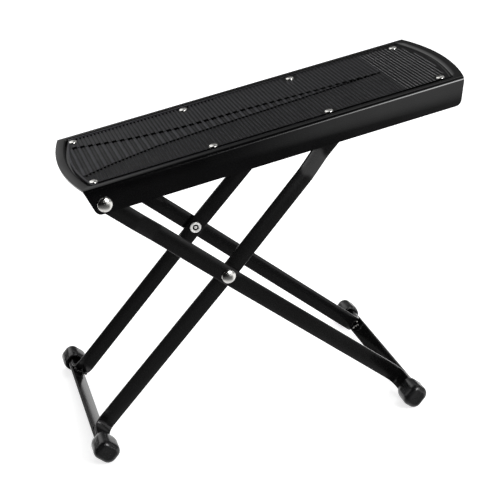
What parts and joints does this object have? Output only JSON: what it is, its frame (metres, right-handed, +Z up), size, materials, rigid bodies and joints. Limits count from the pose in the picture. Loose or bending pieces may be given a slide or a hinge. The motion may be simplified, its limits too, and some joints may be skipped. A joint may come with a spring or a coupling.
{
  "type": "guitar footrest",
  "caption": "Folding metal footrest with a sloping, rubber-topped platform on crossed strap legs that fold flat under it, with rubber-capped feet.",
  "frame": {"origin": "on the ground, under the middle of the bounding box", "axes": "+Z up, +X along the platform towards its raised free end, Y across it between its two sides"},
  "size_m": [0.271, 0.146, 0.2342],
  "materials": {
    "black_gloss_paint": "gloss",
    "black_tread_rubber": "ribbed",
    "dark_foot_rubber": "satin",
    "polished_steel": "polished",
    "zinc_steel": "satin",
    "black_nylon": "satin"
  },
  "bodies": {
    "outer_legs": {"outer_leg_front": "black_gloss_paint", "outer_leg_back": "black_gloss_paint", "outer_foot_bar": "black_gloss_paint", "outer_foot_cap_front": "dark_foot_rubber", "outer_foot_cap_back": "dark_foot_rubber", "crossing_rivet_front": "polished_steel", "crossing_rivet_back": "polished_steel", "crossing_washer_front": "black_nylon", "crossing_washer_back": "black_nylon"},
    "inner_legs": {"inner_leg_front": "black_gloss_paint", "inner_leg_back": "black_gloss_paint", "inner_foot_bar": "black_gloss_paint", "latch_rod": "zinc_steel", "inner_foot_cap_front": "dark_foot_rubber", "inner_foot_cap_back": "dark_foot_rubber"},
    "platform": {"platform_tray": "black_gloss_paint", "tread_mat": "black_tread_rubber", "mat_rivet_front_1": "polished_steel", "mat_rivet_front_2": "polished_steel", "mat_rivet_front_3": "polished_steel", "mat_rivet_front_4": "polished_steel", "mat_rivet_back_1": "polished_steel", "mat_rivet_back_2": "polished_steel", "mat_rivet_back_3": "polished_steel", "mat_rivet_back_4": "polished_steel", "notch_rack_front": "black_gloss_paint", "notch_rack_back": "black_gloss_paint", "pivot_rivet_front": "polished_steel", "pivot_rivet_back": "polished_steel", "pivot_washer_front": "black_nylon", "pivot_washer_back": "black_nylon"}
  },
  "joints": [
    {"name": "leg_fold", "type": "hinge", "parent": "outer_legs", "child": "inner_legs", "pos_m": [-0.03333, 0, 0.1126], "axis": [0, 1, 0], "range_deg": [0, 87.2]},
    {"name": "platform_fold", "type": "hinge", "parent": "outer_legs", "child": "platform", "pos_m": [-0.11251, 0, 0.17731], "axis": [0, 1, 0], "range_deg": [0, 49.5]}
  ],
  "couplings": [
    {"joint": "platform_fold", "follows": "leg_fold", "ratio": 0.5659}
  ]
}
